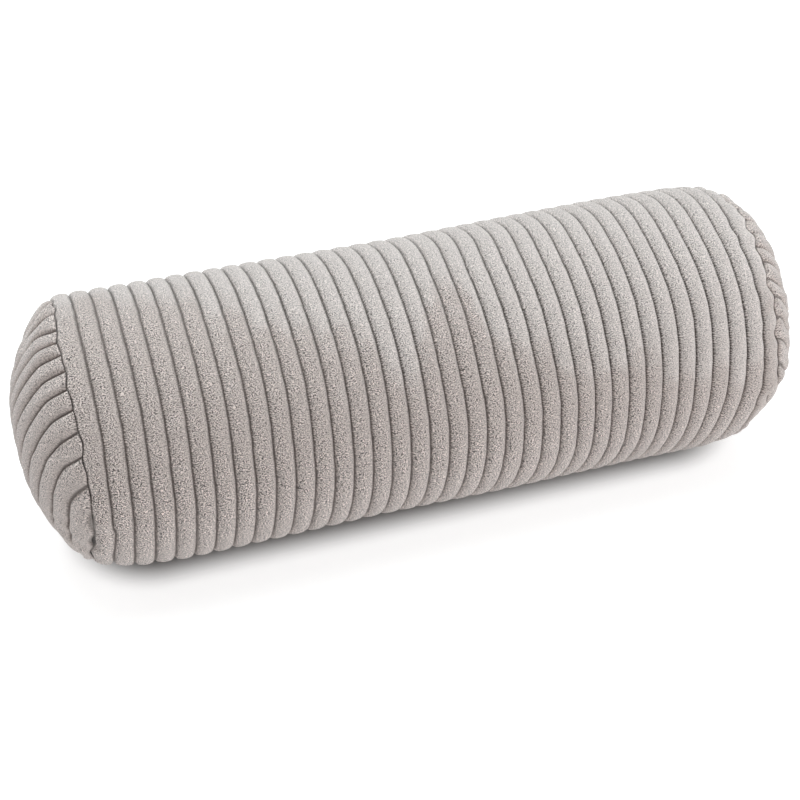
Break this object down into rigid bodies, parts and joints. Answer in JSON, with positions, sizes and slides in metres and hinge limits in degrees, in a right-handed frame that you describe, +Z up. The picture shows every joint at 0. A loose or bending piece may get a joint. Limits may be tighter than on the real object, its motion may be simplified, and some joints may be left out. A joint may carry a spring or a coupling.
{
  "type": "neck roll pillow",
  "caption": "Filled cylindrical neck roll of wide-ribbed plush, with ribs around the roll and domed round end panels; supports the neck or small of the back.",
  "frame": {"origin": "middle of the flat spot underneath, on the surface the roll lies on", "axes": "+X along the roll, +Z up, the side seen in the picture faces -Y"},
  "size_m": [0.4639, 0.16, 0.157],
  "materials": {
    "ribbed_plush": "warm grey short-pile plush with wide raised ribs, matte with a soft sheen"
  },
  "bodies": {
    "root": {"body_panel": "ribbed_plush", "end_panel_left": "ribbed_plush", "end_panel_right": "ribbed_plush"}
  },
  "joints": []
}
